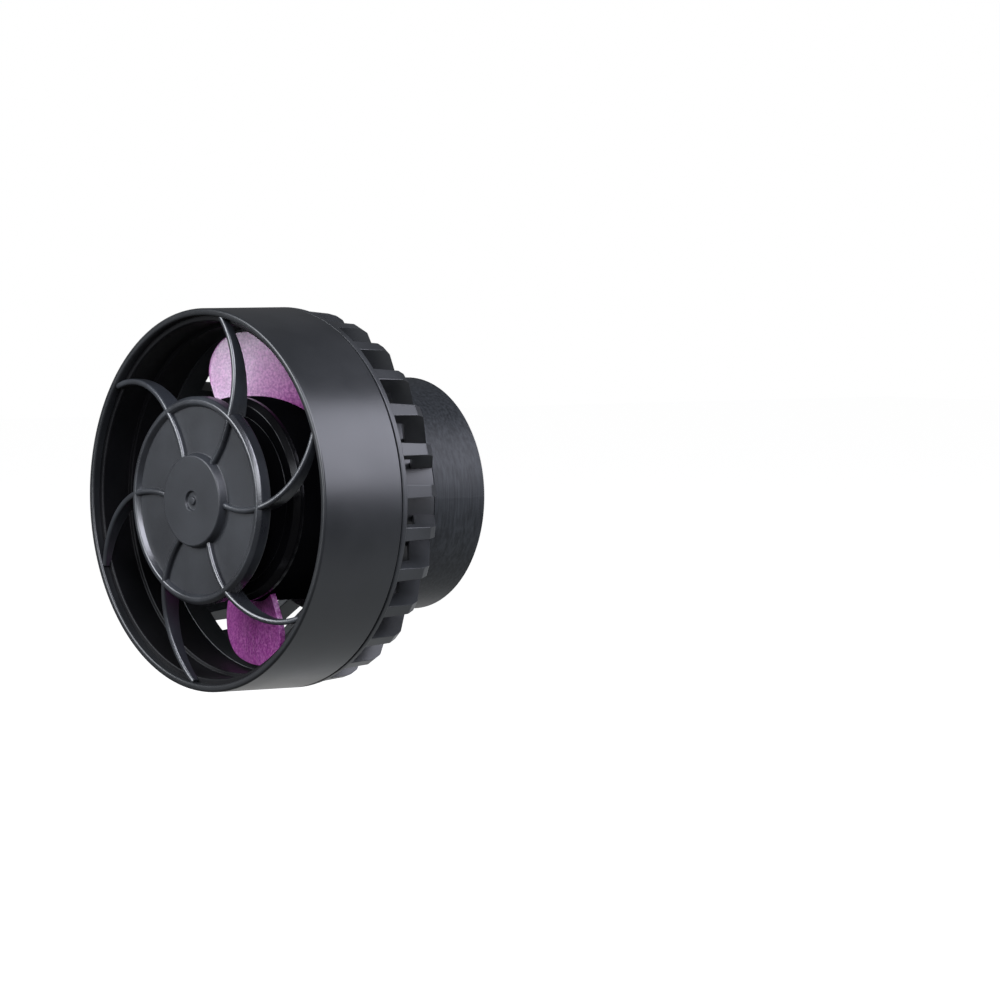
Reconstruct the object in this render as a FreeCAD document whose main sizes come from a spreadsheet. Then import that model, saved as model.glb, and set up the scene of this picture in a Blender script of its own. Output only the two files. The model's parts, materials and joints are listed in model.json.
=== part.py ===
import FreeCAD, Part
import math
import os
import re

import Sketcher

# Wave maker pump that clings to aquarium glass by the magnet in its rear case.
# Millimetres. The pump's axis is Y: water leaves towards -Y, the glass is at y = 0 and +Z is up.
# A "station" is a distance ahead of the glass face, so a point at station d lies at y = -d.

doc = FreeCAD.newDocument("WaveMakerPump")

# Driving dimensions: alias, value, meaning.
SIZES = [
    ("ring_diameter", 70, "outside of the outlet ring"),
    ("overall_length", 52, "glass face to the boss of the centre disc"),
    ("cut_margin", 1.0, "how far a cut runs on into open space"),
    # outlet guard
    ("disc_proud", 3.0, "boss of the centre disc ahead of the ring's rim"),
    ("ring_length", 17.9, "outlet ring, along the axis"),
    ("lip_wall", 1.3, "thin front lip of the ring"),
    ("lip_depth", 1.5, "lip to the inner ledge"),
    ("ring_edge", 0.4, "chamfer around the ring's rim"),
    ("ledge_width", 1.1, "ledge where the spokes land"),
    ("mouth_depth", 6.0, "ledge to the step of the throat"),
    ("throat_step", 0.8, "step from mouth to throat"),
    ("spoke_count", 6, "curved spokes"),
    ("spoke_width", 1.1, "thickness of one spoke"),
    ("spoke_depth", 3.9, "spoke, along the axis"),
    ("spoke_sweep", 23.8, "degrees from spoke root to ring"),
    ("spoke_lead", -1.8, "angle of the first spoke's root"),
    ("spoke_inset", 1.0, "spoke root inside the edge of the boss"),
    ("spoke_bow", 17.9, "radius of the spoke's curve"),
    ("spoke_rake", 2.6, "how far a spoke falls back towards the ring"),
    ("disc_radius", 19.0, "centre disc, outer edge"),
    ("disc_depth", 3.0, "centre disc, front to back"),
    ("disc_edge", 0.5, "chamfer around the back of the disc"),
    ("bead_radius", 17.8, "crest of the disc's bead"),
    ("bead_width", 3.0, "disc bead"),
    ("bead_height", 0.9, "bead above the disc's field"),
    ("boss_radius", 8.3, "low boss in the middle of the disc"),
    ("boss_lead", 0.7, "boss ahead of the bead's crest"),
    ("boss_slope", 0.3, "draft around the boss"),
    ("dimple_radius", 1.8, "moulding dimple in the boss"),
    ("dimple_depth", 0.5, "moulding dimple"),
    ("pip_radius", 0.8, "pip left in the dimple"),
    ("pip_depth", 0.1, "pip behind the face of the boss"),
    # twist lock between guard and cage
    ("joint_gap", 0.25, "parting line between ring and cage"),
    ("spigot_length", 3.6, "cage spigot inside the ring"),
    ("spigot_wall", 1.4, "cage spigot"),
    ("spigot_gap", 0.3, "spigot to ring, radial"),
    ("lug_count", 3, "bayonet lugs"),
    ("lug_height", 0.7, "lug above the spigot"),
    ("lug_length", 1.4, "lug, along the axis"),
    ("lug_angle", 14, "lug, degrees"),
    ("lug_gap", 0.3, "slot around a lug"),
    ("lug_slack", 1, "degrees beside a lug"),
    ("lug_root", 0.2, "lug let into the spigot"),
    ("twist_angle", 16, "degrees from locked to free"),
    # rear cage
    ("back_plate", 7.8, "flange to the cage's back plate"),
    ("cage_tail", 12.4, "glass face to the end of the ribs"),
    ("collar_wall", 0.9, "cage collar around the rear case"),
    ("collar_gap", 0.1, "collar to the rear case, radial"),
    ("flange_length", 1.05, "cage flange behind the ring"),
    ("flange_edge", 0.3, "chamfer around the cage flange"),
    ("rib_count", 28, "cage ribs"),
    ("rib_drop", 0.2, "ribs below the ring's outside"),
    ("rib_slope", 0.7, "fall of a rib from flange to rear corner"),
    ("rib_height", 3.4, "depth of a rib"),
    ("rib_foot", 4.8, "end of the ribs to their inner edge"),
    ("rib_shoulder", 1.0, "inner bend of a rib ahead of the outer one"),
    ("corner_run", 1.8, "bevelled corner of a rib, along the axis"),
    ("corner_fall", 0.9, "bevelled corner of a rib, towards the axis"),
    ("rib_edge", 23.4, "glass face to the bevelled corner of the ribs"),
    ("slot_width_outer", 5.3, "water slot at its outer end"),
    ("slot_width_inner", 3.0, "water slot at its inner end"),
    ("slot_lead", 10.1, "angle of the first water slot"),
    ("plate_thickness", 2.0, "back plate of the cage"),
    ("can_gap", 0.1, "motor can to the back plate, radial"),
    # rear case
    ("case_radius", 21.6, "rear case, outside"),
    ("case_wall", 2.2, "rear case at its mouth"),
    ("case_end_wall", 1.5, "rear case, wall at the glass side"),
    ("case_edge", 0.3, "chamfer around the case"),
    ("pad_thickness", 2.0, "grip pad"),
    ("pad_recess", 1.8, "pad's recess in the case"),
    ("pad_gap", 0.1, "grip pad to its recess, radial"),
    ("pad_edge", 0.4, "chamfer around the grip pad"),
    ("pocket_wall", 1.0, "wall around the magnet"),
    ("pad_border", 1.5, "case wall around the pad"),
    ("magnet_radius", 15.4, "mounting magnet"),
    ("magnet_thickness", 8.0, "mounting magnet"),
    ("magnet_gap", 0.2, "magnet to its pocket"),
    ("keeper_thickness", 1.5, "steel plate on the magnet"),
    # screws and seal
    ("screw_count", 4, "case screws"),
    ("screw_circle", 16.6, "radius of the screw circle"),
    ("screw_lead", 45, "angle of the first screw"),
    ("screw_radius", 1.25, "screw shank"),
    ("screw_length", 7.5, "screw shank"),
    ("screw_point", 1.0, "tapered end of a screw"),
    ("screw_point_radius", 0.75, "tapered end of a screw"),
    ("head_radius", 2.2, "screw head"),
    ("head_height", 1.3, "screw head"),
    ("head_edge", 0.4, "chamfer around a screw head"),
    ("drive_radius", 0.75, "driver recess in a screw head"),
    ("drive_depth", 0.65, "driver recess in a screw head"),
    ("screw_gap", 0.15, "clearance hole around a screw"),
    ("post_radius", 2.3, "screw post in the case"),
    ("post_length", 5.0, "screw post in the case"),
    ("post_web", 0.4, "web of a post let into the case wall"),
    ("pilot_floor", 0.5, "post left under its screw hole"),
    ("seal_cord", 1.2, "O-ring section"),
    ("flange_gap", 0.2, "motor can's flange to the case"),
    # motor can and its bearings
    ("can_flange", 1.8, "motor can's flange"),
    ("can_wall", 0.6, "motor can"),
    ("can_front_wall", 0.8, "motor can, front"),
    ("can_edge", 0.3, "chamfer around the motor can"),
    ("can_setback", 3.0, "impeller's front to the can's front"),
    ("tube_radius", 4.0, "bearing tube, inside"),
    ("tube_wall", 0.9, "bearing tube"),
    ("tube_length", 13.0, "bearing tube, inside"),
    ("bush_length", 4.0, "bearing bush"),
    ("bush_inset", 0.4, "front bush behind the can's face"),
    ("bush_floor", 0.5, "end of the tube to the rear bush"),
    ("shaft_radius", 2.0, "impeller shaft"),
    ("shaft_gap", 0.03, "running clearance in a bush, radial"),
    ("shaft_end_gap", 0.3, "end of the tube to the shaft"),
    ("washer_thickness", 0.6, "thrust washer"),
    ("thrust_gap", 0.1, "front bush to the thrust washer"),
    # stator
    ("core_length", 7.2, "stator core"),
    ("core_setback", 2.4, "can's front to the stator core"),
    ("core_gap", 0.1, "stator core to can and tube"),
    ("yoke_width", 2.2, "stator yoke, radial"),
    ("tooth_count", 6, "stator teeth"),
    ("tooth_width", 3.0, "stator tooth"),
    ("shoe_depth", 1.2, "tooth shoe, radial"),
    ("shoe_angle", 46, "tooth shoe, degrees"),
    ("coil_width", 7.4, "coil, across the tooth"),
    ("coil_overhang", 1.4, "coil beyond the core"),
    ("coil_gap", 0.15, "coil to the core"),
    ("coil_standoff", 0.65, "coil to the yoke"),
    ("board_thickness", 1.0, "driver board"),
    ("board_setback", 2.0, "coils' end to the driver board"),
    ("board_gap", 0.3, "driver board to can and tube"),
    ("sensor_count", 3, "position sensors"),
    ("sensor_width", 3.0, "position sensor"),
    ("sensor_height", 1.2, "position sensor"),
    ("sensor_margin", 0.6, "position sensor to the edge of the board"),
    ("sensor_lead", 30, "angle of the first position sensor"),
    ("chip_width", 4.0, "driver chip"),
    ("chip_height", 1.1, "driver chip"),
    ("capacitor_radius", 1.6, "capacitor"),
    ("capacitor_height", 2.2, "capacitor"),
    ("potting_thickness", 2.0, "resin plug behind the board"),
    # impeller
    ("hub_setback", 6.5, "rim to the front of the impeller hub"),
    ("hub_radius", 18.8, "impeller hub, outside"),
    ("hub_length", 15.8, "impeller hub"),
    ("hub_front_wall", 1.8, "impeller hub, front"),
    ("hub_edge", 1.0, "chamfer around the hub's front"),
    ("hub_wall", 1.05, "impeller hub around the back iron"),
    ("cap_border", 3.0, "hub around its cap"),
    ("cap_thickness", 0.8, "cap in the hub's front"),
    ("cap_gap", 0.05, "cap to its recess"),
    ("rotor_gap", 0.45, "rotor to motor can, radial"),
    ("liner_thickness", 0.3, "liner inside the ring magnet"),
    ("magnet_ring_wall", 1.6, "rotor's ring magnet"),
    ("iron_wall", 1.0, "rotor's back iron"),
    ("rotor_length", 10.6, "ring magnet and back iron"),
    ("rotor_inset", 1.0, "hub's open end to the ring magnet"),
    ("spindle_boss_radius", 3.6, "boss that holds the shaft"),
    ("shaft_skin", 0.8, "hub left ahead of the shaft"),
    ("blade_count", 2, "impeller blades"),
    ("tip_gap", 1.2, "blade tip to throat"),
    ("blade_start", 3.9, "hub's front to the blade's front edge"),
    ("blade_thickness", 1.2, "blade, along the axis"),
    ("blade_pitch", 46, "advance of the blade in one turn"),
    ("blade_angle", 66, "degrees of hub that a blade covers"),
    ("blade_lead", 49, "angle of the first blade's rear edge"),
    ("blade_trim", 1, "degrees swept beyond each end, then trimmed off"),
    ("blade_margin", 0.5, "swept beyond hub and tip, then trimmed off"),
    ("blade_root", 0.8, "blade let into the hub"),
    ("front_corner", 6.5, "radius of the blade's front corner"),
    ("rear_corner", 9.5, "radius of the blade's rear corner"),
    # cable inlet, no cable
    ("inlet_bore_radius", 1.9, "hole for the cable"),
    ("inlet_radius", 2.6, "gland stem in the case wall"),
    ("inlet_flange_radius", 4.4, "gland flange"),
    ("inlet_flange", 1.2, "gland flange"),
    ("inlet_seat", 0.5, "flat cut into the case under the flange"),
    ("inlet_seat_gap", 0.2, "gland flange to the edge of its seat"),
    ("inlet_inside", 0.8, "gland stem inside the case"),
    ("inlet_neck_radius", 3.3, "threaded neck of the gland"),
    ("inlet_neck", 2.6, "threaded neck of the gland"),
    ("inlet_station", 7.3, "glass face to the gland's axis"),
    ("gland_seal_length", 2.0, "rubber seal in the gland"),
    ("gland_seal_wall", 0.9, "rubber seal in the gland"),
    ("nut_radius", 4.0, "gland nut"),
    ("nut_lip", 1.0, "gland nut's outer wall"),
    ("nut_gap", 0.2, "gland nut to the flange"),
    ("nut_edge", 0.4, "chamfer around the gland nut"),
]

# Places worked out from the driving dimensions. Each is an expression for the sheet.
RING = "(ring_diameter / 2)"
RIM = "(overall_length - disc_proud)"
RING_END = f"({RIM} - ring_length)"
MOUTH = f"({RING} - lip_wall - ledge_width)"
THROAT = f"({MOUTH} - throat_step)"
LEDGE = f"({RIM} - lip_depth)"
CREST = "(overall_length - boss_lead)"
FIELD = f"({CREST} - bead_height)"
STEP = f"({LEDGE} - mouth_depth)"

CAGE_FRONT = f"({RING_END} - joint_gap)"
CAGE_BACK = f"({CAGE_FRONT} - flange_length - back_plate - plate_thickness)"
COLLAR = "(case_radius - collar_wall)"
SPIGOT = f"({THROAT} + spigot_wall)"
SPIGOT_FRONT = f"({RING_END} + spigot_length)"
SOCKET = f"({SPIGOT} + spigot_gap)"
LUG = f"({SPIGOT} + lug_height)"
LUG_FRONT = f"({SPIGOT_FRONT} - lug_gap)"
LUG_BACK = f"({LUG_FRONT} - lug_length)"
SLOT_WALL = f"({LUG} + lug_gap)"

CASE_INNER = "(case_radius - case_wall)"
PAD_FRONT = "pad_thickness"
CASE_BACK = "(pad_thickness - pad_recess)"
MAGNET_BACK = f"({PAD_FRONT} + case_end_wall)"
MAGNET_FRONT = f"({MAGNET_BACK} + magnet_thickness)"
KEEPER_FRONT = f"({MAGNET_FRONT} + keeper_thickness)"
POCKET = "(magnet_radius + magnet_gap)"
FLANGE = f"({CASE_INNER} - flange_gap)"
FLANGE_BACK = f"({CAGE_BACK} - can_flange)"

HUB_FRONT = f"({RIM} - hub_setback)"
HUB_BACK = f"({HUB_FRONT} - hub_length)"
HUB_WALL = f"({HUB_FRONT} - hub_front_wall)"
CAN_FRONT = f"({HUB_FRONT} - can_setback)"
ROTOR_WALL = "(iron_wall + magnet_ring_wall + liner_thickness + rotor_gap)"
CAN = f"(hub_radius - hub_wall - {ROTOR_WALL})"
CAN_INSIDE = f"({CAN} - can_wall)"
TUBE_OUTER = "(tube_radius + tube_wall)"
TUBE_BACK = f"({CAN_FRONT} - tube_length)"
FRONT_BUSH = f"({CAN_FRONT} - bush_inset)"
WASHER_BACK = f"({FRONT_BUSH} + thrust_gap)"
BOSS_BACK = f"({WASHER_BACK} + washer_thickness)"
SHAFT_FRONT = f"({HUB_FRONT} - cap_thickness - shaft_skin)"

CORE_FRONT = f"({CAN_FRONT} - core_setback)"
CORE_BACK = f"({CORE_FRONT} - core_length)"
CORE_INNER = f"({TUBE_OUTER} + core_gap)"
CORE_OUTER = f"({CAN_INSIDE} - core_gap)"
YOKE = f"({CORE_INNER} + yoke_width)"
SHOE = f"({CORE_OUTER} - shoe_depth)"
BOARD_FRONT = f"({CORE_BACK} - coil_overhang - board_setback)"
BOARD_BACK = f"({BOARD_FRONT} - board_thickness)"

LINER = f"({CAN} + rotor_gap)"
MAGNET_RING = f"({LINER} + liner_thickness)"
IRON = f"({MAGNET_RING} + magnet_ring_wall)"
SKIRT = f"({IRON} + iron_wall)"
ROTOR_BACK = f"({HUB_BACK} + rotor_inset)"
ROTOR_FRONT = f"({ROTOR_BACK} + rotor_length)"
TIP = f"({THROAT} - tip_gap)"
BLADE_FRONT = f"({HUB_FRONT} - blade_start)"
BLADE_ROOT = "(hub_radius - blade_root)"
CAP = "(hub_radius - cap_border)"

INLET_SEAT = "(case_radius - inlet_seat)"
NECK_START = f"({INLET_SEAT} + inlet_flange)"
NECK_END = f"({NECK_START} + inlet_neck)"


def write_sizes():
    """Put every driving dimension in the sheet, one row each."""
    sheet = doc.addObject("Spreadsheet::Sheet", "Dimensions")
    for row, (alias, value, meaning) in enumerate(SIZES, start=1):
        sheet.set(f"A{row}", alias)
        sheet.set(f"B{row}", str(value))
        sheet.setAlias(f"B{row}", alias)
        sheet.set(f"C{row}", meaning)
    doc.recompute()
    return sheet


SHEET = write_sizes()
ALIASES = {alias for alias, value, meaning in SIZES}


def bound(text):
    """The expression with each alias pointed at the sheet."""
    def point_at_sheet(match):
        word = match.group(0)
        return f"Dimensions.{word}" if word in ALIASES else word
    return re.sub(r"[A-Za-z_]+", point_at_sheet, str(text))


def size(alias):
    """The number in the sheet under this alias."""
    return float(SHEET.get(alias))


def count_of(alias):
    """A whole number from the sheet, for loops over repeated pieces."""
    return round(size(alias))


def tie(thing, prop, text):
    """Bind one property to an expression."""
    thing.setExpression(prop, bound(text))


def new_body(label):
    body = doc.addObject("PartDesign::Body", label)
    body.Label = label
    return body


def origin_of(body, role):
    """The body's own origin plane or axis with this role."""
    return next(item for item in body.Origin.OriginFeatures if item.Role == role)


def new_sketch(body, name, plane, offset="0", turn="0"):
    """A sketch on one of the body's origin planes.

    It is moved along the plane's normal by offset and turned about the pump's axis by turn,
    measured from +X towards +Z.
    """
    sketch = body.newObject("Sketcher::SketchObject", name)
    sketch.AttachmentSupport = [(origin_of(body, plane), "")]
    sketch.MapMode = "FlatFace"
    if turn != "0":
        pump_axis = FreeCAD.Vector(0, -1, 0) if plane == "XY_Plane" else FreeCAD.Vector(0, 0, 1)
        sketch.AttachmentOffset = FreeCAD.Placement(FreeCAD.Vector(), FreeCAD.Rotation(pump_axis, 1))
        tie(sketch, "AttachmentOffset.Rotation.Angle", turn)
    if offset != "0":
        tie(sketch, "AttachmentOffset.Base.z", offset)
    return sketch


def pin(sketch, geometry, position, direction, text, start=1.0):
    """Fix one coordinate of a sketch point; a leading minus puts it on the negative side."""
    if text == "0":
        axis = -2 if direction == "DistanceX" else -1
        sketch.addConstraint(Sketcher.Constraint("PointOnObject", geometry, position, axis))
        return
    if text.startswith("-"):
        text = text[1:]
        rule = Sketcher.Constraint(direction, geometry, position, -1, 1, start)
    else:
        rule = Sketcher.Constraint(direction, -1, 1, geometry, position, start)
    index = sketch.addConstraint(rule)
    tie(sketch, f"Constraints[{index}]", text)


def add_polygon(sketch, corners):
    """A closed outline of straight edges. Each corner is a pair of expressions."""
    first = sketch.GeometryCount
    count = len(corners)
    turn = 2 * math.pi / count
    spots = [
        FreeCAD.Vector(5 * math.cos(turn * i), 5 * math.sin(turn * i), 0)
        for i in range(count)
    ]
    for i in range(count):
        sketch.addGeometry(Part.LineSegment(spots[i], spots[(i + 1) % count]), False)
    for i in range(count):
        after = first + (i + 1) % count
        sketch.addConstraint(Sketcher.Constraint("Coincident", first + i, 2, after, 1))
    for i, (across, along) in enumerate(corners):
        pin(sketch, first + i, 1, "DistanceX", across)
        pin(sketch, first + i, 1, "DistanceY", along)


def add_circle(sketch, across, along, radius):
    """A circle whose centre and radius are expressions."""
    circle = Part.Circle(FreeCAD.Vector(5, 5, 0), FreeCAD.Vector(0, 0, 1), 1.0)
    index = sketch.addGeometry(circle, False)
    if across == "0" and along == "0":
        sketch.addConstraint(Sketcher.Constraint("Coincident", index, 3, -1, 1))
    else:
        pin(sketch, index, 3, "DistanceX", across)
        pin(sketch, index, 3, "DistanceY", along)
    rule = sketch.addConstraint(Sketcher.Constraint("Radius", index, 1.0))
    tie(sketch, f"Constraints[{rule}]", radius)


def turn_outline(body, name, corners, kind="PartDesign::Revolution", angle="360", centred=False,
                 turn="0"):
    """Revolve an outline of (radius, station) corners about the pump's axis."""
    sketch = new_sketch(body, name + "_outline", "XY_Plane", turn=turn)
    add_polygon(sketch, [(radius, "-" + station if station != "0" else "0")
                         for radius, station in corners])
    feature = body.newObject(kind, name)
    feature.Profile = sketch
    feature.ReferenceAxis = (sketch, ["V_Axis"])
    feature.Midplane = centred
    tie(feature, "Angle", angle)
    return feature


def band(inner, outer, front, back):
    """Corners of a rectangular ring section."""
    return [(inner, back), (outer, back), (outer, front), (inner, front)]


def turned(label, corners):
    """A sub-part made by one full revolution."""
    body = new_body(label)
    turn_outline(body, label + "_turn", corners)
    return body


def around(body, feature, count):
    """Repeat a feature evenly about the pump's axis."""
    pattern = body.newObject("PartDesign::PolarPattern", feature.Name + "_set")
    pattern.Originals = [feature]
    pattern.Axis = (origin_of(body, "Y_Axis"), [""])
    pattern.Angle = 360
    tie(pattern, "Occurrences", count)
    body.Tip = pattern
    return pattern


def cut_screw_holes(body, name, radius, station, depth):
    """Holes on the screw circle, cut towards the glass from the given station."""
    sketch = new_sketch(body, name + "_circle", "XZ_Plane", station, "screw_lead")
    add_circle(sketch, "screw_circle", "0", radius)
    hole = body.newObject("PartDesign::Pocket", name)
    hole.Profile = sketch
    tie(hole, "Length", depth)
    around(body, hole, "screw_count")


def pad_sketch(body, name, sketch, length):
    """Pad a sketch along its normal."""
    pad = body.newObject("PartDesign::Pad", name)
    pad.Profile = sketch
    tie(pad, "Length", length)
    return pad


def place_at_angle(thing, angle):
    """Turn a piece about the pump's axis by an angle measured from +X towards +Z."""
    thing.Placement = FreeCAD.Placement(FreeCAD.Vector(), FreeCAD.Rotation(FreeCAD.Vector(0, -1, 0), 1))
    tie(thing, "Placement.Rotation.Angle", angle)


def add_spoke(body):
    """One spoke: a band between two arcs about one centre, from the boss to the ring's wall."""
    sketch = new_sketch(body, "spoke_outline", "XZ_Plane", f"{CREST} - spoke_depth", "spoke_lead")
    half = size("spoke_width") / 2
    bow = size("spoke_bow")
    sweep = math.radians(size("spoke_sweep"))
    reach = size("ring_diameter") / 2 - size("lip_wall") - size("ledge_width") / 2
    root = FreeCAD.Vector(size("boss_radius") - size("spoke_inset"), 0, 0)
    end = FreeCAD.Vector(reach * math.cos(sweep), reach * math.sin(sweep), 0)
    chord = end - root
    rise = math.sqrt(bow ** 2 - (chord.Length / 2) ** 2)
    centre = (root + end) * 0.5 + FreeCAD.Vector(-chord.y, chord.x, 0).normalize() * rise
    arcs = []
    for radius in (bow - half, bow + half):
        angles = [math.atan2(spot.y - centre.y, spot.x - centre.x) for spot in (root, end)]
        circle = Part.Circle(centre, FreeCAD.Vector(0, 0, 1), radius)
        arcs.append(sketch.addGeometry(Part.ArcOfCircle(circle, *angles), False))
    inner, outer = arcs
    sketch.addConstraint(Sketcher.Constraint("Coincident", inner, 3, outer, 3))
    for position in (1, 2):
        edge = Part.LineSegment(sketch.getPoint(inner, position), sketch.getPoint(outer, position))
        line = sketch.addGeometry(edge, False)
        sketch.addConstraint(Sketcher.Constraint("Coincident", line, 1, inner, position))
        sketch.addConstraint(Sketcher.Constraint("Coincident", line, 2, outer, position))
        sketch.addConstraint(Sketcher.Constraint("PointOnObject", inner, 3, line))
    for arc, text, start in ((inner, "spoke_bow - spoke_width / 2", bow - half),
                             (outer, "spoke_bow + spoke_width / 2", bow + half)):
        index = sketch.addConstraint(Sketcher.Constraint("Radius", arc, start))
        tie(sketch, f"Constraints[{index}]", text)
    wall = f"({RING} - lip_wall - ledge_width / 2)"
    pin(sketch, outer, 1, "DistanceX", "boss_radius - spoke_inset", root.x)
    pin(sketch, outer, 1, "DistanceY", "0")
    pin(sketch, outer, 2, "DistanceX", f"{wall} * cos(spoke_sweep)", end.x)
    pin(sketch, outer, 2, "DistanceY", f"{wall} * sin(spoke_sweep)", end.y)
    return pad_sketch(body, "spoke", sketch, "spoke_depth")


def make_outlet_guard():
    """Outlet ring, six swept spokes and the centre disc, moulded in one."""
    body = new_body("outlet_guard")
    turn_outline(body, "ring", [
        (f"{RING} - lip_wall", RIM),
        (f"{RING} - ring_edge", RIM),
        (RING, f"{RIM} - ring_edge"),
        (RING, RING_END),
        (SOCKET, RING_END),
        (SOCKET, f"{SPIGOT_FRONT} + lug_gap"),
        (THROAT, f"{SPIGOT_FRONT} + lug_gap"),
        (THROAT, STEP),
        (MOUTH, STEP),
        (MOUTH, LEDGE),
        (f"{RING} - lip_wall", LEDGE),
    ])
    slot_inner = f"({SOCKET} - lug_root)"
    slot_front = f"({LUG_FRONT} + lug_gap)"
    entry_section = band(slot_inner, SLOT_WALL, slot_front, f"({RING_END} - cut_margin)")
    entry = turn_outline(body, "lug_entry", entry_section,
                         "PartDesign::Groove", "lug_angle + 2 * lug_slack", True)
    around(body, entry, "lug_count")
    channel_section = band(slot_inner, SLOT_WALL, slot_front, f"({LUG_BACK} - lug_gap)")
    channel = turn_outline(body, "lug_channel", channel_section,
                           "PartDesign::Groove", "twist_angle + lug_angle / 2 + lug_slack")
    channel.Reversed = True
    around(body, channel, "lug_count")
    spoke = add_spoke(body)
    around(body, spoke, "spoke_count")
    turn_outline(body, "spoke_rake_cut", [
        ("bead_radius", CREST),
        ("bead_radius", f"{CREST} + cut_margin"),
        (f"{RING} - lip_wall", f"{CREST} + cut_margin"),
        (f"{RING} - lip_wall", f"{CREST} - spoke_rake"),
    ], "PartDesign::Groove")
    floor = "(overall_length - dimple_depth)"
    pip_front = "(overall_length - pip_depth)"
    turn_outline(body, "disc", [
        ("0", f"{CREST} - disc_depth"),
        ("disc_radius - disc_edge", f"{CREST} - disc_depth"),
        ("disc_radius", f"{CREST} - disc_depth + disc_edge"),
        ("disc_radius", f"{CREST} - bead_height"),
        ("bead_radius + bead_width / 5", CREST),
        ("bead_radius - bead_width / 5", CREST),
        ("bead_radius - bead_width / 2", FIELD),
        ("boss_radius + boss_slope", FIELD),
        ("boss_radius", "overall_length"),
        ("dimple_radius", "overall_length"),
        ("dimple_radius", floor),
        ("pip_radius", floor),
        ("pip_radius", pip_front),
        ("0", pip_front),
    ])
    return [body]


def make_rear_cage():
    """Ribbed intake cage with its flange, twist-lock spigot and back plate."""
    body = new_body("rear_cage")
    flange_back = f"({CAGE_FRONT} - flange_length)"
    side = f"({RING} - rib_drop)"
    corner = f"({side} - rib_slope)"
    inside = f"({CAGE_BACK} + plate_thickness)"
    turn_outline(body, "shell", [
        (THROAT, SPIGOT_FRONT),
        (SPIGOT, SPIGOT_FRONT),
        (SPIGOT, CAGE_FRONT),
        (f"{RING} - flange_edge", CAGE_FRONT),
        (RING, f"{CAGE_FRONT} - flange_edge"),
        (RING, flange_back),
        (side, flange_back),
        (corner, "rib_edge"),
        (f"{corner} - corner_fall", "rib_edge - corner_run"),
        ("case_radius", "cage_tail"),
        (COLLAR, "cage_tail"),
        (COLLAR, CAGE_BACK),
        (f"{CAN} + can_gap", CAGE_BACK),
        (f"{CAN} + can_gap", inside),
        ("case_radius", inside),
        ("case_radius", "cage_tail + rib_foot"),
        (f"{corner} - rib_height", "rib_edge + rib_shoulder"),
        (THROAT, flange_back),
    ])
    sketch = new_sketch(body, "slot_outline", "XZ_Plane", flange_back, "slot_lead")
    outer = f"({RING} + cut_margin)"
    add_polygon(sketch, [
        ("case_radius", "-slot_width_inner / 2"),
        (outer, "-slot_width_outer / 2"),
        (outer, "slot_width_outer / 2"),
        ("case_radius", "slot_width_inner / 2"),
    ])
    slot = body.newObject("PartDesign::Pocket", "slot")
    slot.Profile = sketch
    tie(slot, "Length", f"{flange_back} - cage_tail + cut_margin")
    around(body, slot, "rib_count")
    lug = turn_outline(body, "lug", band(f"({SPIGOT} - lug_root)", LUG, LUG_FRONT, LUG_BACK),
                       angle="lug_angle", centred=True, turn="twist_angle")
    around(body, lug, "lug_count")
    cut_screw_holes(body, "screw_hole", "screw_radius + screw_gap",
                    f"{inside} + cut_margin", "plate_thickness + 2 * cut_margin")
    return [body]


def make_rear_case():
    """Closed rear case: magnet pocket, screw posts, hole for the cable gland, recess for the pad."""
    body = new_body("rear_case")
    pocket_outer = f"({POCKET} + pocket_wall)"
    neck = f"({COLLAR} - collar_gap)"
    shoulder = "(cage_tail - collar_gap)"
    post_back = f"({FLANGE_BACK} - post_length)"
    turn_outline(body, "case", [
        ("0", MAGNET_BACK),
        (POCKET, MAGNET_BACK),
        (POCKET, KEEPER_FRONT),
        (pocket_outer, KEEPER_FRONT),
        (pocket_outer, MAGNET_BACK),
        (CASE_INNER, MAGNET_BACK),
        (CASE_INNER, CAGE_BACK),
        (neck, CAGE_BACK),
        (neck, shoulder),
        ("case_radius", shoulder),
        ("case_radius", f"{CASE_BACK} + case_edge"),
        ("case_radius - case_edge", CASE_BACK),
        ("case_radius - pad_border", CASE_BACK),
        ("case_radius - pad_border", PAD_FRONT),
        ("0", PAD_FRONT),
    ])
    post_sketch = new_sketch(body, "post_outline", "XZ_Plane", post_back, "screw_lead")
    add_circle(post_sketch, "screw_circle", "0", "post_radius")
    post = pad_sketch(body, "post", post_sketch, "post_length")
    around(body, post, "screw_count")
    web_sketch = new_sketch(body, "web_outline", "XZ_Plane", post_back, "screw_lead")
    add_polygon(web_sketch, [
        ("screw_circle", "-post_radius / 2"),
        (f"{CASE_INNER} + post_web", "-post_radius / 2"),
        (f"{CASE_INNER} + post_web", "post_radius / 2"),
        ("screw_circle", "post_radius / 2"),
    ])
    web = pad_sketch(body, "web", web_sketch, "post_length")
    around(body, web, "screw_count")
    cut_screw_holes(body, "pilot", "screw_radius", FLANGE_BACK, "post_length - pilot_floor")
    for name, start, radius in (
        ("inlet_hole", f"{CASE_INNER} - cut_margin", "inlet_radius"),
        ("inlet_seat", INLET_SEAT, "inlet_flange_radius + inlet_seat_gap"),
    ):
        hole_sketch = new_sketch(body, name + "_circle", "YZ_Plane", f"-1 * ({start})")
        add_circle(hole_sketch, "-inlet_station", "0", radius)
        hole = body.newObject("PartDesign::Pocket", name)
        hole.Profile = hole_sketch
        tie(hole, "Length", "case_wall + 3 * cut_margin")
    return [body]


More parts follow.
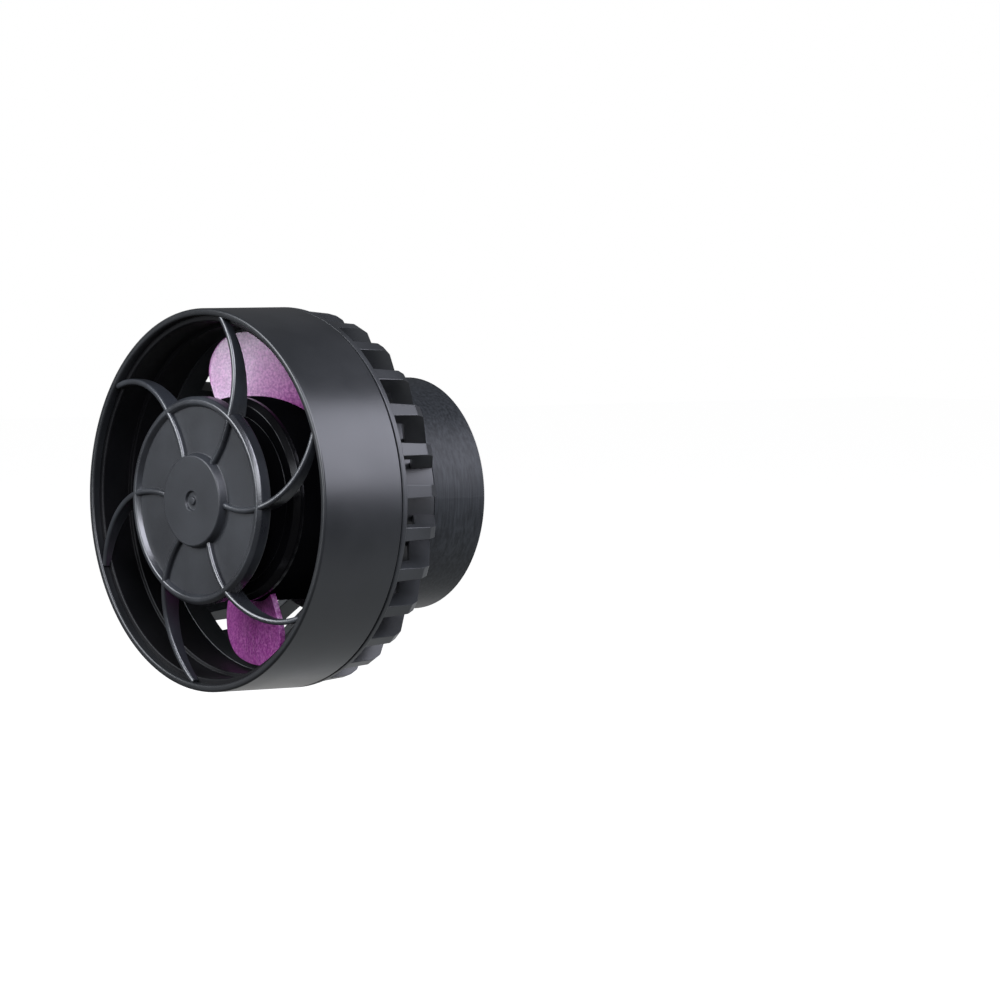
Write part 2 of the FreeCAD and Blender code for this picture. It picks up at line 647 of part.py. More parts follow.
def make_stator_can():
    """Sealed thin-walled can over the stator, with the bearing tube and the mounting flange."""
    groove_back = f"({CAGE_BACK} - (can_flange + seal_cord) / 2)"
    groove_front = f"({CAGE_BACK} - (can_flange - seal_cord) / 2)"
    body = turned("stator_can", [
        ("tube_radius", CAN_FRONT),
        (f"{CAN} - can_edge", CAN_FRONT),
        (CAN, f"{CAN_FRONT} - can_edge"),
        (CAN, CAGE_BACK),
        (FLANGE, CAGE_BACK),
        (FLANGE, groove_front),
        (f"{CASE_INNER} - seal_cord", groove_front),
        (f"{CASE_INNER} - seal_cord", groove_back),
        (FLANGE, groove_back),
        (FLANGE, FLANGE_BACK),
        (CAN_INSIDE, FLANGE_BACK),
        (CAN_INSIDE, f"{CAN_FRONT} - can_front_wall"),
        (TUBE_OUTER, f"{CAN_FRONT} - can_front_wall"),
        (TUBE_OUTER, f"{TUBE_BACK} - can_front_wall"),
        ("0", f"{TUBE_BACK} - can_front_wall"),
        ("0", TUBE_BACK),
        ("tube_radius", TUBE_BACK),
    ])
    cut_screw_holes(body, "flange_hole", "screw_radius + screw_gap",
                    f"{CAGE_BACK} + cut_margin", "can_flange + 2 * cut_margin")
    return [body]


def make_stator_core():
    """Laminated stator: yoke, teeth and tooth shoes."""
    body = new_body("stator_core")
    turn_outline(body, "yoke", band(CORE_INNER, YOKE, CORE_FRONT, CORE_BACK))
    sketch = new_sketch(body, "tooth_outline", "XZ_Plane", CORE_BACK)
    add_polygon(sketch, [
        (f"{YOKE} - yoke_width / 4", "-tooth_width / 2"),
        (f"{SHOE} + shoe_depth / 2", "-tooth_width / 2"),
        (f"{SHOE} + shoe_depth / 2", "tooth_width / 2"),
        (f"{YOKE} - yoke_width / 4", "tooth_width / 2"),
    ])
    tooth = pad_sketch(body, "tooth", sketch, "core_length")
    around(body, tooth, "tooth_count")
    shoe = turn_outline(body, "shoe", band(SHOE, CORE_OUTER, CORE_FRONT, CORE_BACK),
                        "PartDesign::Revolution", "shoe_angle", True)
    around(body, shoe, "tooth_count")
    return [body]


def make_stator_coils():
    """One winding for each stator tooth."""
    coils = []
    reach = f"(sqrt({SHOE} ^ 2 - (coil_width / 2) ^ 2) - coil_gap)"
    for number in range(count_of("tooth_count")):
        label = f"stator_coil_{number + 1}"
        body = new_body(label)
        start = f"({YOKE} + coil_standoff)"
        sketch = new_sketch(body, label + "_outline", "YZ_Plane", start)
        front = f"{CORE_FRONT} + coil_overhang"
        back = f"{CORE_BACK} - coil_overhang"
        add_polygon(sketch, [
            (f"-({front})", "-coil_width / 2"),
            (f"-({back})", "-coil_width / 2"),
            (f"-({back})", "coil_width / 2"),
            (f"-({front})", "coil_width / 2"),
        ])
        add_polygon(sketch, [
            (f"-({CORE_FRONT} + coil_gap)", "-(tooth_width / 2 + coil_gap)"),
            (f"-({CORE_BACK} - coil_gap)", "-(tooth_width / 2 + coil_gap)"),
            (f"-({CORE_BACK} - coil_gap)", "(tooth_width / 2 + coil_gap)"),
            (f"-({CORE_FRONT} + coil_gap)", "(tooth_width / 2 + coil_gap)"),
        ])
        pad_sketch(body, label + "_winding", sketch, f"{reach} - {start}")
        place_at_angle(body, f"{number} * 360 / tooth_count")
        coils.append(body)
    return coils


def make_board_parts():
    """Driver board, position sensors, chip, capacitor and the resin plug behind them."""
    board_edge = f"({CAN_INSIDE} - board_gap)"
    board_inner = f"({TUBE_OUTER} + board_gap)"
    board = turned("driver_board", band(board_inner, board_edge, BOARD_FRONT, BOARD_BACK))
    sensors = []
    middle = f"(({TUBE_OUTER} + {CAN_INSIDE}) / 2)"
    for number in range(count_of("sensor_count")):
        label = f"position_sensor_{number + 1}"
        body = new_body(label)
        sketch = new_sketch(body, label + "_outline", "XZ_Plane", BOARD_FRONT)
        add_polygon(sketch, [
            (f"{board_edge} - sensor_width", "-sensor_width / 2"),
            (f"{board_edge} - sensor_margin", "-sensor_width / 2"),
            (f"{board_edge} - sensor_margin", "sensor_width / 2"),
            (f"{board_edge} - sensor_width", "sensor_width / 2"),
        ])
        pad_sketch(body, label + "_case", sketch, "sensor_height")
        place_at_angle(body, f"sensor_lead + {number} * 360 / sensor_count")
        sensors.append(body)
    chip = new_body("driver_chip")
    sketch = new_sketch(chip, "chip_outline", "XZ_Plane", f"{BOARD_BACK} - chip_height")
    add_polygon(sketch, [
        (f"{middle} - chip_width / 2", "-chip_width / 2"),
        (f"{middle} + chip_width / 2", "-chip_width / 2"),
        (f"{middle} + chip_width / 2", "chip_width / 2"),
        (f"{middle} - chip_width / 2", "chip_width / 2"),
    ])
    pad_sketch(chip, "chip_case", sketch, "chip_height")
    capacitor = new_body("capacitor")
    sketch = new_sketch(capacitor, "capacitor_outline", "XZ_Plane", f"{BOARD_BACK} - capacitor_height")
    add_circle(sketch, f"-{middle}", "0", "capacitor_radius")
    pad_sketch(capacitor, "capacitor_can", sketch, "capacitor_height")
    resin_front = f"({FLANGE_BACK} + potting_thickness)"
    plug = turned("potting_plug", band("0", CAN_INSIDE, resin_front, FLANGE_BACK))
    return [board, *sensors, chip, capacitor, plug]


def make_case_seal():
    """O-ring between the motor can's flange and the rear case."""
    ring = doc.addObject("Part::Torus", "case_o_ring")
    ring.Label = "case_o_ring"
    tie(ring, "Radius1", f"{CASE_INNER} - seal_cord / 2")
    tie(ring, "Radius2", "seal_cord / 2")
    ring.Placement = FreeCAD.Placement(FreeCAD.Vector(), FreeCAD.Rotation(FreeCAD.Vector(1, 0, 0), 90))
    tie(ring, "Placement.Base.y", f"-1 * ({CAGE_BACK} - can_flange / 2)")
    return [ring]


def make_screws():
    """Screws from inside the cage, through the can's flange, into the case's posts."""
    head_back = f"({CAGE_BACK} + plate_thickness)"
    head_front = f"({head_back} + head_height)"
    tip = f"({head_back} - screw_length)"
    drive_floor = f"({head_front} - drive_depth)"
    screws = []
    for number in range(count_of("screw_count")):
        screw = turned(f"screw_{number + 1}", [
            ("0", tip),
            ("screw_point_radius", tip),
            ("screw_radius", f"{tip} + screw_point"),
            ("screw_radius", head_back),
            ("head_radius", head_back),
            ("head_radius", f"{head_front} - head_edge"),
            ("head_radius - head_edge", head_front),
            ("drive_radius", head_front),
            ("drive_radius", drive_floor),
            ("0", drive_floor),
        ])
        angle = f"(screw_lead + {number} * 360 / screw_count)"
        tie(screw, "Placement.Base.x", f"screw_circle * cos{angle}")
        tie(screw, "Placement.Base.z", f"screw_circle * sin{angle}")
        screws.append(screw)
    group = doc.addObject("Part::Compound", "case_screws")
    group.Label = "case_screws"
    group.Links = screws
    return [group]


def make_glass_side():
    """Mounting magnet, its steel plate and the grip pad that rests on the glass."""
    magnet = turned("mount_magnet", band("0", "magnet_radius", MAGNET_FRONT, MAGNET_BACK))
    plate = turned("magnet_plate", band("0", "magnet_radius", KEEPER_FRONT, MAGNET_FRONT))
    edge = "(case_radius - pad_border - pad_gap)"
    pad = turned("grip_pad", [
        ("0", "0"),
        (f"{edge} - pad_edge", "0"),
        (edge, "pad_edge"),
        (edge, PAD_FRONT),
        ("0", PAD_FRONT),
    ])
    return [magnet, plate, pad]


def make_motor_bearings():
    """Two ceramic bushes in the bearing tube."""
    bore = "(shaft_radius + shaft_gap)"
    rear = f"({TUBE_BACK} + bush_floor)"
    return [
        turned("front_bush", band(bore, "tube_radius", FRONT_BUSH, f"{FRONT_BUSH} - bush_length")),
        turned("rear_bush", band(bore, "tube_radius", f"{rear} + bush_length", rear)),
    ]


def tip_edge(block, angle):
    """The name of the block's straight edge at the blade tip and at this angle."""
    wanted = math.radians(angle)
    spot = FreeCAD.Vector(math.cos(wanted), 0, math.sin(wanted))
    names = {}
    for index, edge in enumerate(block.Shape.Edges, start=1):
        centre = FreeCAD.Vector(edge.CenterOfMass.x, 0, edge.CenterOfMass.z)
        if abs(edge.tangentAt(edge.FirstParameter).y) > 0.99:
            names[centre.dot(spot)] = f"Edge{index}"
    return names[max(names)]


def make_blade(label):
    """A blade swept along a helix from its rear edge and trimmed to a round-cornered outline."""
    rear = f"({BLADE_FRONT} - blade_angle / 360 * blade_pitch)"
    swept = new_body(label + "_swept")
    sketch = new_sketch(swept, label + "_section", "XY_Plane", turn="-blade_trim")
    section = band(f"({BLADE_ROOT} - blade_margin)", f"({TIP} + blade_margin)",
                   f"({rear} + blade_thickness)", rear)
    add_polygon(sketch, [(radius, "-" + station) for radius, station in section])
    sweep = swept.newObject("PartDesign::AdditiveHelix", label + "_sweep")
    sweep.Profile = sketch
    sweep.ReferenceAxis = (sketch, ["V_Axis"])
    sweep.Mode = "pitch-turns-angle"
    sweep.Reversed = True
    sweep.LeftHanded = False
    tie(sweep, "Pitch", "blade_pitch")
    tie(sweep, "Turns", "(blade_angle + 2 * blade_trim) / 360")

    outline = new_body(label + "_outline")
    front = f"({BLADE_FRONT} + blade_thickness + 2 * cut_margin)"
    back = f"({rear} - 2 * cut_margin)"
    block = turn_outline(outline, label + "_block", band(BLADE_ROOT, TIP, front, back),
                         angle="blade_angle")
    block.Reversed = True
    doc.recompute()
    for name, angle, radius in (
        ("front", size("blade_angle"), "front_corner"),
        ("rear", 0, "rear_corner"),
    ):
        corner = outline.newObject("PartDesign::Fillet", f"{label}_{name}_corner")
        corner.Base = (block, [tip_edge(block, angle)])
        tie(corner, "Radius", radius)
        doc.recompute()
        block = corner

    blade = doc.addObject("Part::Common", label)
    blade.Label = label
    blade.Base = swept
    blade.Tool = outline
    return blade


def make_impeller():
    """Impeller: hub with its cap, let-in blades, shaft, ring magnet, back iron and liner."""
    blades = []
    for number in range(count_of("blade_count")):
        blade = make_blade(f"impeller_blade_{number + 1}")
        place_at_angle(blade, f"blade_lead + {number} * 360 / blade_count")
        blades.append(blade)
    recess = f"({HUB_FRONT} - cap_thickness)"
    blank = turned("hub_blank", [
        ("0", recess),
        (f"({CAP} + cap_gap)", recess),
        (f"({CAP} + cap_gap)", HUB_FRONT),
        ("(hub_radius - hub_edge)", HUB_FRONT),
        ("hub_radius", f"({HUB_FRONT} - hub_edge)"),
        ("hub_radius", HUB_BACK),
        (SKIRT, HUB_BACK),
        (SKIRT, HUB_WALL),
        ("spindle_boss_radius", HUB_WALL),
        ("spindle_boss_radius", BOSS_BACK),
        ("shaft_radius", BOSS_BACK),
        ("shaft_radius", SHAFT_FRONT),
        ("0", SHAFT_FRONT),
    ])
    roots = doc.addObject("Part::Compound", "blade_roots")
    roots.Links = blades
    hub = doc.addObject("Part::Cut", "impeller_hub")
    hub.Label = "impeller_hub"
    hub.Base = blank
    hub.Tool = roots
    tail = f"({TUBE_BACK} + shaft_end_gap)"
    bore = "(shaft_radius + shaft_gap)"
    return blades + [
        hub,
        turned("hub_cap", band("0", CAP, HUB_FRONT, recess)),
        turned("impeller_shaft", band("0", "shaft_radius", SHAFT_FRONT, tail)),
        turned("thrust_washer", band(bore, "spindle_boss_radius", BOSS_BACK, WASHER_BACK)),
        turned("magnet_liner", band(LINER, MAGNET_RING, ROTOR_FRONT, ROTOR_BACK)),
        turned("ring_magnet", band(MAGNET_RING, IRON, ROTOR_FRONT, ROTOR_BACK)),
        turned("back_iron", band(IRON, SKIRT, ROTOR_FRONT, ROTOR_BACK)),
    ]


def make_cable_inlet():
    """Gland on the -X side of the case, with its seal and nut, drawn about an axis that points away."""
    seal_outer = "(inlet_bore_radius + gland_seal_wall)"
    seal_start = f"({NECK_END} - gland_seal_length)"
    stem_start = f"({CASE_INNER} - inlet_inside)"
    nut_back = f"({NECK_START} + nut_gap)"
    nut_front = f"({NECK_END} + nut_lip)"
    gland = turned("cable_gland", [
        ("inlet_bore_radius", stem_start),
        ("inlet_radius", stem_start),
        ("inlet_radius", INLET_SEAT),
        ("inlet_flange_radius", INLET_SEAT),
        ("inlet_flange_radius", NECK_START),
        ("inlet_neck_radius", NECK_START),
        ("inlet_neck_radius", NECK_END),
        (seal_outer, NECK_END),
        (seal_outer, seal_start),
        ("inlet_bore_radius", seal_start),
    ])
    seal = turned("gland_seal", band("inlet_bore_radius", seal_outer, NECK_END, seal_start))
    nut = turned("gland_nut", [
        ("inlet_neck_radius", nut_back),
        ("nut_radius", nut_back),
        ("nut_radius", f"({nut_front} - nut_edge)"),
        ("(nut_radius - nut_edge)", nut_front),
        ("inlet_bore_radius", nut_front),
        ("inlet_bore_radius", NECK_END),
        ("inlet_neck_radius", NECK_END),
    ])
    for piece in (gland, seal, nut):
        quarter_turn = FreeCAD.Rotation(FreeCAD.Vector(0, 0, 1), -90)
        piece.Placement = FreeCAD.Placement(FreeCAD.Vector(), quarter_turn)
        tie(piece, "Placement.Base.y", "-1 * inlet_station")
    return [gland, seal, nut]


def check_built():
    """Stop if any object of the document failed to build."""
    for thing in doc.Objects:
        if "Invalid" in thing.State or "Error" in thing.State:
            raise RuntimeError(f"{thing.Name} did not build: {thing.State}")


def write_part(part):
    """Write one sub-part as parts/LABEL.step."""
    shape = part.Shape
    if shape.isNull() or not shape.isValid():
        raise RuntimeError(f"{part.Label} has no valid shape")
    shape.exportStep(os.path.join("parts", part.Label + ".step"))


MAKERS = [
    make_outlet_guard,
    make_rear_cage,
    make_rear_case,
    make_stator_can,
    make_stator_core,
    make_stator_coils,
    make_board_parts,
    make_case_seal,
    make_screws,
    make_glass_side,
    make_motor_bearings,
    make_impeller,
    make_cable_inlet,
]

sub_parts = [part for maker in MAKERS for part in maker()]
doc.recompute()
check_built()
os.makedirs("parts", exist_ok=True)
for sub_part in sub_parts:
    write_part(sub_part)
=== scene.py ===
import json
import math

import bmesh
import bpy
from mathutils import Matrix, Vector


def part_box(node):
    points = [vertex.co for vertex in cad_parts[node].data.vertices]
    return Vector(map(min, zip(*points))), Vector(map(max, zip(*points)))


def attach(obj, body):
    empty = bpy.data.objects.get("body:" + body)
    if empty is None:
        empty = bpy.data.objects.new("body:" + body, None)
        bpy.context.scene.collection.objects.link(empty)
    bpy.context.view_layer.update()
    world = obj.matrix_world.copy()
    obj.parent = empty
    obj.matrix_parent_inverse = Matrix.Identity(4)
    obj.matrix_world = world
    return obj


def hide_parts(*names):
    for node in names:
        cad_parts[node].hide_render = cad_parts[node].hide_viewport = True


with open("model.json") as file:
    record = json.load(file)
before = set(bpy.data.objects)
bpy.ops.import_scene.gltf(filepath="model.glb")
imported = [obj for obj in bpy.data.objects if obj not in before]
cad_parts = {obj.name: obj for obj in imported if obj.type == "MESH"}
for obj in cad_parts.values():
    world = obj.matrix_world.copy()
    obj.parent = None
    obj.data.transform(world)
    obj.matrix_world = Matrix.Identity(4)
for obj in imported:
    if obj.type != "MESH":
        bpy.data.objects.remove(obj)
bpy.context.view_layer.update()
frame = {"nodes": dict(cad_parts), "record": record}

# Millimetres in the outlines, metres in the meshes. The pump's axis is Y; water leaves towards -Y.
# A station is a distance ahead of the glass face; an angle runs from +X towards +Z. The third
# number of an outline's corner is the radius it is rounded by.
MM = 0.001
FULL_TURN = 2 * math.pi


def reach(node):
    """Largest radius of a CAD node about the pump's axis, in millimetres."""
    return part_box(node)[1][0] / MM


def front_of(node):
    """Station of the end of a CAD node that faces the outlet, in millimetres."""
    return -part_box(node)[0][1] / MM


def back_of(node):
    """Station of the end of a CAD node that faces the glass, in millimetres."""
    return -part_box(node)[1][1] / MM


# ---- places read from the frame

RING = reach("outlet_guard")
DISC_FRONT = front_of("outlet_guard")
RING_END = back_of("outlet_guard")
CAGE_BACK = back_of("rear_cage")
CASE = reach("rear_case")
PAD = reach("grip_pad")
PAD_FRONT = front_of("grip_pad")
HUB = reach("impeller_hub")
HUB_FRONT = front_of("impeller_hub")
HUB_BACK = back_of("impeller_hub")
CAP = reach("hub_cap")
BLADE_FRONT = front_of("impeller_blade_1")
BLADE_BACK = back_of("impeller_blade_1")
SKIRT = reach("back_iron")

# ---- steps of a turned piece

WIDE_STEPS = 288
NARROW_STEPS = 216
PAD_STEPS = 144

# ---- outlet guard

DISC_LEAD = 3.0
LEDGE_DROP = 1.5
MOUTH_LENGTH = 6.0
LIP_WALL = 1.3
LEDGE_WIDTH = 1.1
STEP_WIDTH = 0.8
LINING = 0.3
RIM = DISC_FRONT - DISC_LEAD
LEDGE = RIM - LEDGE_DROP
STEP = LEDGE - MOUTH_LENGTH
LIP = RING - LIP_WALL
MOUTH = LIP - LEDGE_WIDTH
THROAT = MOUTH - STEP_WIDTH
SOCKET_DEPTH = 1.7
GROOVE_DEPTH = 0.7
SOCKET = THROAT + SOCKET_DEPTH
GROOVE = SOCKET + GROOVE_DEPTH
SOCKET_EDGE = 1.3
SOCKET_LENGTH = 3.6
THROAT_LEAD = 3.9
SPOKE_COUNT = 6
SPOKE_WIDTH = 1.1
SPOKE_DEPTH = 3.9
SPOKE_BOW = 17.9
SPOKE_LEAD = math.radians(-1.8)
SPOKE_SWEEP = math.radians(23.8)
SPOKE_RAKE = 2.6
SPOKE_BITE = 0.8
SPOKE_STEPS = 44
SPOKE_TAPER = 0.86
SPOKE_INSET = 1
SPOKE_DEPTH_ON_DISC = 2.0
RAKE_POWER = 1.1
DISC = 19.0
DISC_THICKNESS = 3.0
BEAD = 17.8
BEAD_INSIDE = BEAD - 0.7
BEAD_DROP = 2.5
BEAD_SHOULDER = 0.7
BOSS_RISE = 0.7
FIELD_DROP = 0.9
CREST = DISC_FRONT - BOSS_RISE
FIELD = CREST - FIELD_DROP
BOSS = 8.3
BOSS_SLOPE = 0.35
DIMPLE = 1.8
DIMPLE_FLOOR = 1.65
DIMPLE_DEPTH = 0.5
PIP_FOOT = 0.8
PIP = 0.7
PIP_DROP = 0.12

# ---- cage

SEAM = 0.25
FLANGE_THICKNESS = 1.05
INTAKE_LENGTH = 7.8
PLATE_THICKNESS = 2.0
PLATE_HOLE = 14.6
SPIGOT_WALL = 1.4
COLLAR_WALL = 0.9
CAGE_FRONT = RING_END - SEAM
FLANGE_BACK = CAGE_FRONT - FLANGE_THICKNESS
RIB_COUNT = 28
RIB_PITCH = FULL_TURN / RIB_COUNT
RIB_LEAD = math.radians(3.7)
RIB_OUTER = 2.55
RIB_INNER = 1.85
RIB_EDGE = 23.4
RIB_BITE = 0.3
RIB_INSET = 0.25
RIB_SHOULDER = 0.9
RIB_SLOPE = 1.8
RIB_DEPTH = 4.3
RIB_INNER_EDGE = 1.0
RIB_FOOT = 4.8
RIB_HEEL = 0.1
RIB_DRAFT = 0.05
RIB_ROUNDING = 0.32
COLLAR_INSIDE = CASE - COLLAR_WALL
PLATE_FRONT = FLANGE_BACK - INTAKE_LENGTH
PLATE_BACK = PLATE_FRONT - PLATE_THICKNESS

# ---- impeller

BLADE_SPAN = math.radians(66)
BLADE_LEAD = math.radians(49)
BLADE_THICKNESS = 1.2
BLADE_BITE = 0.8
TIP_GAP = 1.2
BLADE_ROOT = HUB - BLADE_BITE
BLADE_TIP = THROAT - TIP_GAP
FRONT_CORNER = 6.5
REAR_CORNER = 9.5
BLADE_ROUNDING = 0.22
CAP_SEAM = 0.08
CAP_DEPTH = 0.8
HUB_CHAMFER = 1.0
HUB_SPLIT = 1.8
HUB_HOLE = 3.6
SKIRT_GAP = 0.05

# ---- grip pad

PAD_BORDER = 1.6
PAD_MIDDLE = 3
RIDGE_PITCH = 2.2
RIDGE_DEPTH = 0.35
RIDGE_NEAR = 0.15
RIDGE_FAR = 0.65
RIDGE_WIDTH = 0.8

# ---- studio: degrees, metres and watts unless a name says otherwise

CAMERA_STATION = 29.05
CAMERA_AZIMUTH = 51.45
CAMERA_ELEVATION = 2.63
CAMERA_DISTANCE = 1.2
CAMERA_PAN = -1.846
CAMERA_TILT = -0.024
LENS_MM = 234.6
SURROUND_LIGHT = 0.1
FLOOR_SIZE = 3.0
FLOOR_LEVEL = -0.11
COOL = (0.86, 0.87, 1.0)
PALE = (0.9, 0.93, 1.0)
# Name, azimuth, elevation, distance, width, height, power, colour.
LIGHTS = (
    ("key", 75, 42, 0.6, 0.5, 0.4, 6.5, COOL),
    ("front", -20, 24, 0.6, 0.4, 0.5, 5.8, PALE),
    ("fill", 48, 18, 0.7, 0.3, 0.3, 2.0, PALE),
    ("rim", 136, 24, 0.6, 0.38, 0.42, 3.0, COOL),
    ("bounce", 228, -22, 0.25, 0.25, 0.2, 0.09, (1, 1, 1)),
    ("table", 165, -42, 0.15, 0.25, 0.2, 0.08, (0.9, 0.95, 1.0)),
)


# ---- mesh making

def point(radius, angle, station):
    """A place about the pump's axis, in metres."""
    return Vector((radius * math.cos(angle), -station, radius * math.sin(angle))) * MM


def rounded(corners, steps=4):
    """A closed outline from (x, y, radius) corners; a corner with a radius becomes an arc."""
    outline = []
    count = len(corners)
    for index, (x, y, radius) in enumerate(corners):
        here = Vector((x, y))
        before = (Vector(corners[index - 1][:2]) - here).normalized()
        after = (Vector(corners[(index + 1) % count][:2]) - here).normalized()
        if radius == 0:
            outline.append(here)
            continue
        half = before.angle(after) / 2
        centre = here + (before + after).normalized() * radius / math.sin(half)
        start = here + before * radius / math.tan(half) - centre
        turn = start.angle_signed(here + after * radius / math.tan(half) - centre)
        for step in range(steps + 1):
            outline.append(centre + Matrix.Rotation(-turn * step / steps, 2) @ start)
    return outline


def add_lathe(bm, outline, steps=180, start=0.0, sweep=FULL_TURN):
    """Turn a closed (radius, station) outline about the pump's axis."""
    whole = sweep == FULL_TURN
    rings = []
    for step in range(steps if whole else steps + 1):
        angle = start + sweep * step / steps
        rings.append([bm.verts.new(point(max(spot.x, 0), angle, spot.y)) for spot in outline])
    faces = []
    count = len(outline)
    for step in range(steps):
        ring, following = rings[step], rings[(step + 1) % len(rings)]
        for i in range(count):
            j = (i + 1) % count
            if outline[i].x <= 0 and outline[j].x <= 0:
                continue
            faces.append(bm.faces.new((ring[i], ring[j], following[j], following[i])))
    if not whole:
        faces.append(bm.faces.new(rings[0]))
        faces.append(bm.faces.new(rings[-1]))
    return faces


def finish_piece(name, bm, material, smooth_angle=32):
    """Turn a bmesh into a piece with clean, weighted normals."""
    bmesh.ops.remove_doubles(bm, verts=bm.verts, dist=0.002 * MM)
    bmesh.ops.recalc_face_normals(bm, faces=bm.faces)
    mesh = bpy.data.meshes.new(name)
    bm.to_mesh(mesh)
    bm.free()
    mesh.shade_smooth()
    mesh.set_sharp_from_angle(angle=math.radians(smooth_angle))
    mesh.materials.append(material)
    piece = bpy.data.objects.new(name, mesh)
    bpy.context.scene.collection.objects.link(piece)
    weighting = piece.modifiers.new("normals", "WEIGHTED_NORMAL")
    weighting.keep_sharp = True
    return piece


def stand_for(piece, body, slot, *nodes):
    """Say which body a piece rides on and which CAD nodes it stands for; the slot is not used."""
    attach(piece, body)
    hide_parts(*nodes)


# ---- materials

def new_material(name):
    """An empty node material with its Principled shader."""
    material = bpy.data.materials.new(name)
    material.use_nodes = True
    return material, material.node_tree, material.node_tree.nodes["Principled BSDF"]


def add_node(tree, kind, **settings):
    """A node with its plain settings."""
    node = tree.nodes.new(kind)
    for key, value in settings.items():
        setattr(node, key, value)
    return node


def noise_of(tree, scale, detail=4.0, stretch=(1, 1, 1)):
    """Noise in object space, stretched along the axes."""
    coordinates = add_node(tree, "ShaderNodeTexCoord")
    mapping = add_node(tree, "ShaderNodeMapping")
    mapping.inputs["Scale"].default_value = stretch
    texture = add_node(tree, "ShaderNodeTexNoise")
    texture.inputs["Scale"].default_value = scale
    texture.inputs["Detail"].default_value = detail
    tree.links.new(coordinates.outputs["Object"], mapping.inputs["Vector"])
    tree.links.new(mapping.outputs["Vector"], texture.inputs["Vector"])
    return texture.outputs["Fac"]


def ramp_of(tree, factor, dark, light, low=0.35, high=0.65):
    """A two-colour ramp driven by a factor."""
    ramp = add_node(tree, "ShaderNodeValToRGB")
    ramp.color_ramp.elements[0].position = low
    ramp.color_ramp.elements[1].position = high
    ramp.color_ramp.elements[0].color = (*dark, 1)
    ramp.color_ramp.elements[1].color = (*light, 1)
    tree.links.new(factor, ramp.inputs["Fac"])
    return ramp.outputs["Color"]


def range_of(tree, factor, low, high):
    """Spread a noise over a range of numbers."""
    spread = add_node(tree, "ShaderNodeMapRange")
    spread.inputs["From Min"].default_value = 0.3
    spread.inputs["From Max"].default_value = 0.7
    spread.inputs["To Min"].default_value = low
    spread.inputs["To Max"].default_value = high
    tree.links.new(factor, spread.inputs["Value"])
    return spread.outputs["Result"]


def bump_of(tree, height, strength, distance, before=None):
    """A bump, on top of an earlier one."""
    bump = add_node(tree, "ShaderNodeBump")
    bump.inputs["Strength"].default_value = strength
    bump.inputs["Distance"].default_value = distance * MM
    tree.links.new(height, bump.inputs["Height"])
    if before is not None:
        tree.links.new(before, bump.inputs["Normal"])
    return bump.outputs["Normal"]


def moulded_plastic(name, dark, light, rough, grain=2600, grain_strength=0.25, grain_depth=0.02,
                    stretch=(1, 1, 1), specular=0.5, streaked=False):
    """Moulded plastic: fine spark-eroded grain, faint cloudiness or streaks, and uneven gloss."""
    material, tree, shader = new_material(name)
    cloud = noise_of(tree, 90, 3)
    fine = noise_of(tree, grain, 6, stretch)
    colour = ramp_of(tree, fine if streaked else cloud, dark, light)
    tree.links.new(colour, shader.inputs["Base Color"])
    tree.links.new(range_of(tree, cloud, rough - 0.04, rough + 0.04), shader.inputs["Roughness"])
    tree.links.new(bump_of(tree, fine, grain_strength, grain_depth), shader.inputs["Normal"])
    shader.inputs["Specular IOR Level"].default_value = specular
    return material


def metal(name, dark, light, rough, stretch=(1, 1, 1)):
    """Bare or plated metal with fine tool marks."""
    material, tree, shader = new_material(name)
    marks = noise_of(tree, 900, 5, stretch)
    tree.links.new(ramp_of(tree, marks, dark, light), shader.inputs["Base Color"])
    tree.links.new(range_of(tree, marks, rough - 0.06, rough + 0.08), shader.inputs["Roughness"])
    tree.links.new(bump_of(tree, marks, 0.2, 0.01), shader.inputs["Normal"])
    shader.inputs["Metallic"].default_value = 1.0
    return material


def blade_plastic(name):
    """Translucent purple plastic full of fine sparkle."""
    material, tree, shader = new_material(name)
    fine = noise_of(tree, 2200, 8)
    cloud = noise_of(tree, 260, 4)
    colour = ramp_of(tree, fine, (0.20, 0.02, 0.18), (0.44, 0.12, 0.37), 0.4, 0.66)
    tree.links.new(colour, shader.inputs["Base Color"])
    tree.links.new(range_of(tree, cloud, 0.28, 0.42), shader.inputs["Roughness"])
    tree.links.new(bump_of(tree, fine, 0.35, 0.04), shader.inputs["Normal"])
    shader.inputs["Specular IOR Level"].default_value = 1.0
    shader.inputs["Transmission Weight"].default_value = 0.25
    shader.inputs["Subsurface Weight"].default_value = 0.35
    shader.inputs["Subsurface Radius"].default_value = (0.002, 0.0008, 0.002)
    shader.inputs["Subsurface Scale"].default_value = 1.0
    return material


GUARD_RING = moulded_plastic("ring_satin", (0.010, 0.011, 0.012), (0.013, 0.014, 0.015),
                             0.32, 3200, 0.10, 0.010)
# The inside of the ring is the same black plastic as the outside, painted about three times
# darker: painted shade for the deep inside of the mouth.
GUARD_INSIDE_PAINTED_SHADE = moulded_plastic("ring_inside", (0.003, 0.003, 0.0035), (0.005, 0.005, 0.0055),
                               0.42, 2400, 0.2, 0.02, specular=0.16)
GUARD_FACE = moulded_plastic("guard_grain", (0.009, 0.010, 0.012), (0.015, 0.017, 0.020),
                             0.44, 2400, 0.4, 0.03)
